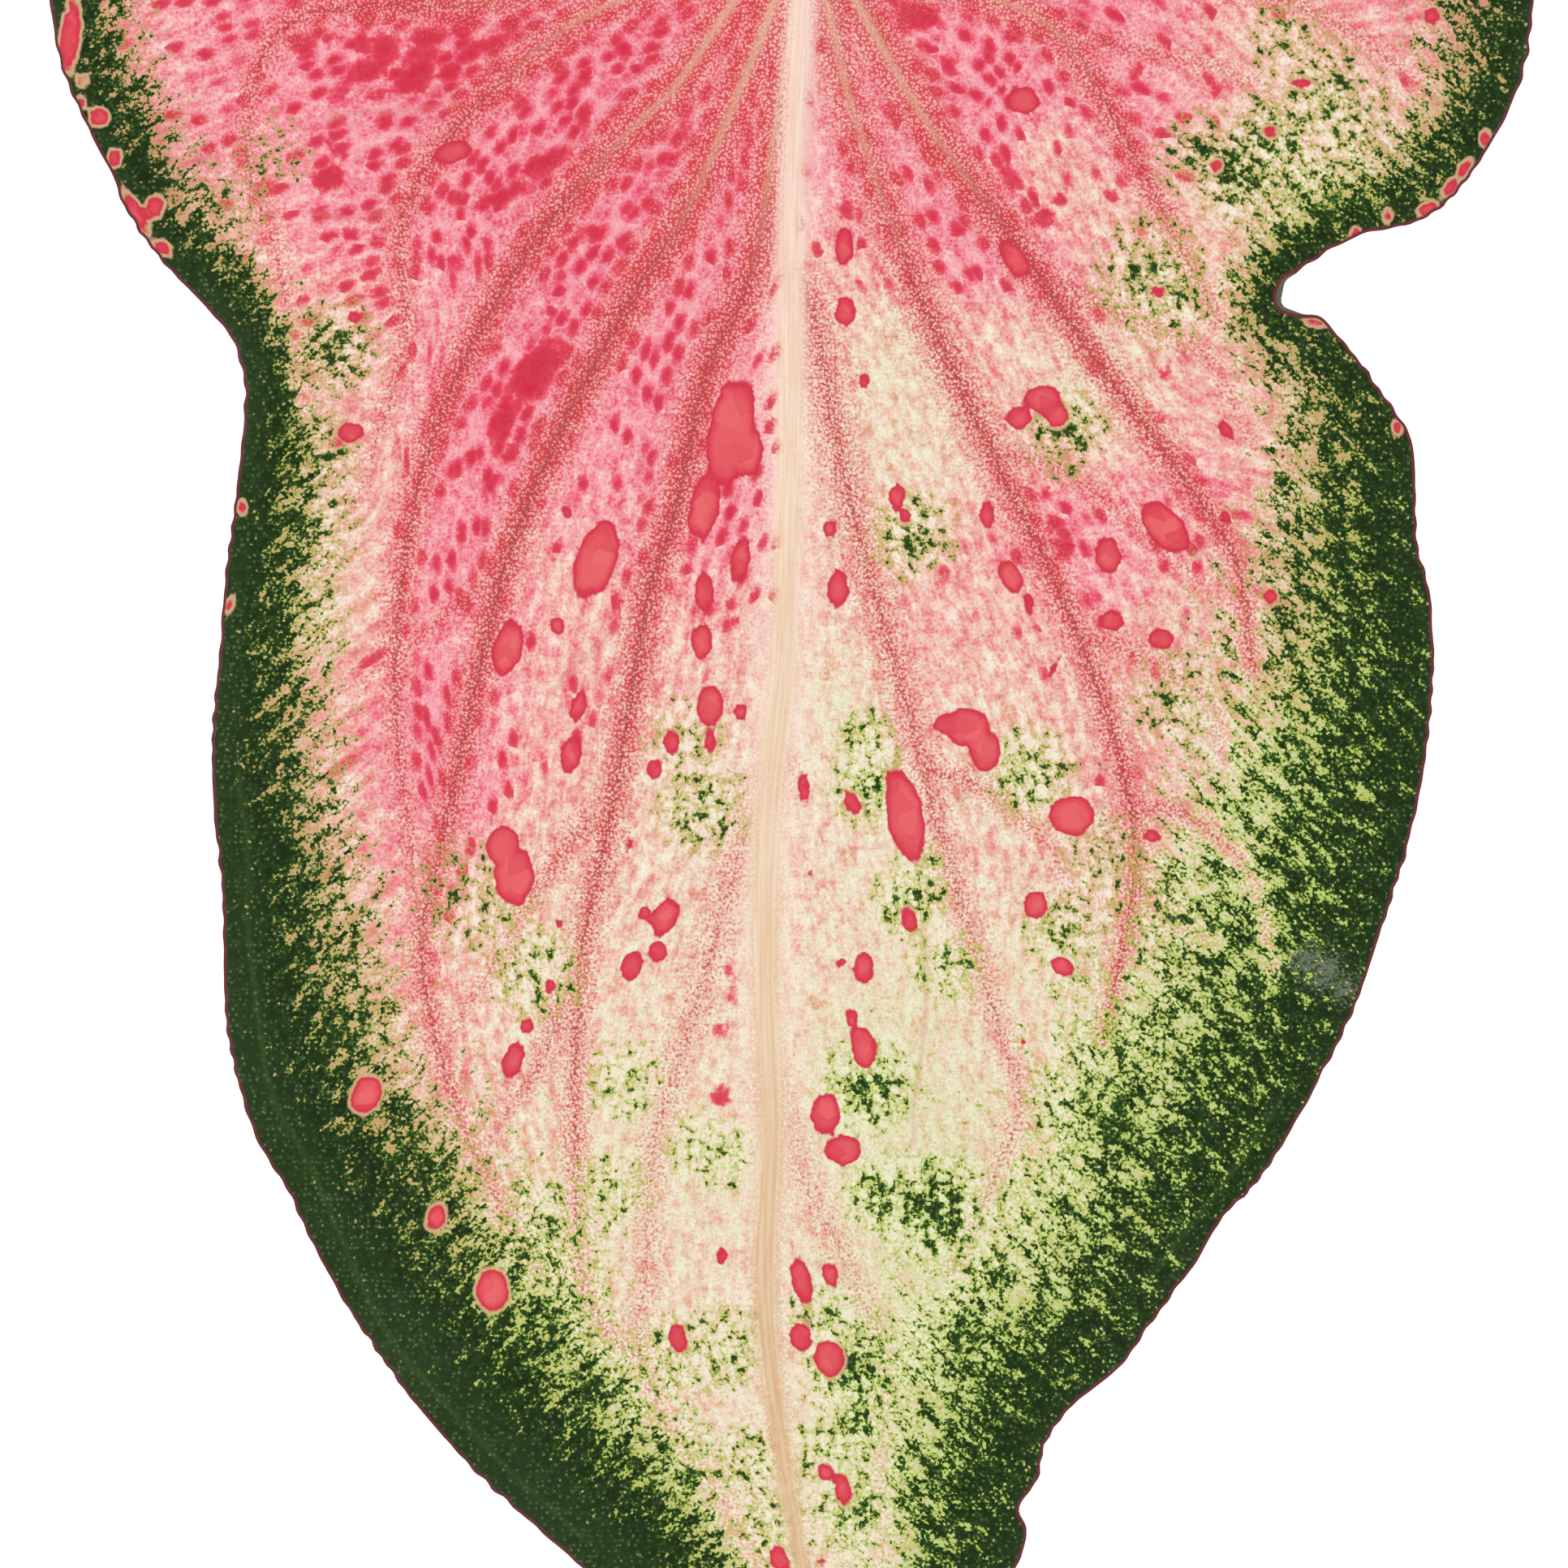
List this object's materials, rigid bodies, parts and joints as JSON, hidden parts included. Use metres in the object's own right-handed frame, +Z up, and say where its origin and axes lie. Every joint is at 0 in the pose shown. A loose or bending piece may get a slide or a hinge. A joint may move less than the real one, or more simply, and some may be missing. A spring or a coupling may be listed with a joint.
{
  "type": "caladium leaf",
  "caption": "Picked heart-shaped caladium leaf, lying face up: a thin waved blade with raised veins below, basal lobes, a drawn-out tip and its cut stalk.",
  "frame": {"origin": "on the surface, straight below the point where the stalk meets the blade", "axes": "-Y from the stalk joint towards the blade's tip, +Y along the stalk, +X to the right of the leaf seen from above with the tip down, +Z up out of the upper face"},
  "size_m": [0.1836, 0.3372, 0.007],
  "materials": {
    "leaf_blade": "satin variegated leaf",
    "petiole": "smooth satin stalk"
  },
  "bodies": {
    "root": {"leaf_blade": "leaf_blade", "petiole": "petiole"}
  },
  "joints": []
}
